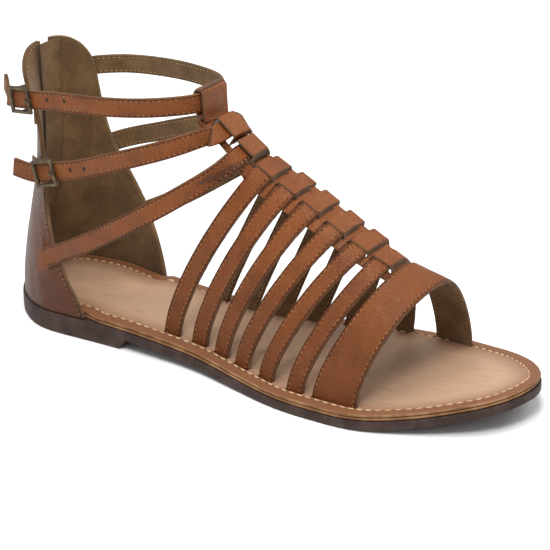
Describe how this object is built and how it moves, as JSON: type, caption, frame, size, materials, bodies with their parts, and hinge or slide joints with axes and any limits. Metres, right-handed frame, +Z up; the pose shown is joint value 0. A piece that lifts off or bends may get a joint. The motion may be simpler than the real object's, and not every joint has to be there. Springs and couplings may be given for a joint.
{
  "type": "gladiator sandal",
  "caption": "Flat open-toe gladiator sandal for the right foot, with a cage of leather straps on a centre spine, buckled ankle straps and a tall zipped heel counter.",
  "frame": {"origin": "on the floor at the middle of the heel's flat rest, 36 mm in front of the sole's back", "axes": "+X to the toe, +Y to the inner side of the foot, +Z up"},
  "size_m": [0.25, 0.0851, 0.114],
  "materials": {
    "outsole_rubber": "matt",
    "midsole_strip": "satin",
    "insole_leather": "satin",
    "strap_leather": "satin",
    "counter_leather": "satin",
    "antique_brass": "antique",
    "zip_tape": "matt"
  },
  "bodies": {
    "shoe": {"outsole": "outsole_rubber", "midsole": "midsole_strip", "insole": "insole_leather", "upper": "strap_leather", "counter": "counter_leather", "ankle_strap_upper": "strap_leather", "ankle_strap_lower": "strap_leather", "stub_upper": "strap_leather", "stub_lower": "strap_leather", "buckle_upper": "antique_brass", "buckle_lower": "antique_brass", "prong_upper": "antique_brass", "prong_lower": "antique_brass", "zip_tape": "zip_tape", "zip_slider": "antique_brass"},
    "pull": {"zip_pull": "antique_brass"}
  },
  "joints": [
    {"name": "pull_swing", "type": "hinge", "parent": "shoe", "child": "pull", "pos_m": [-0.02984, 0.00455, 0.0971], "axis": [0.0008, 0.9996, 0.0281], "range_deg": [0, 150]}
  ]
}
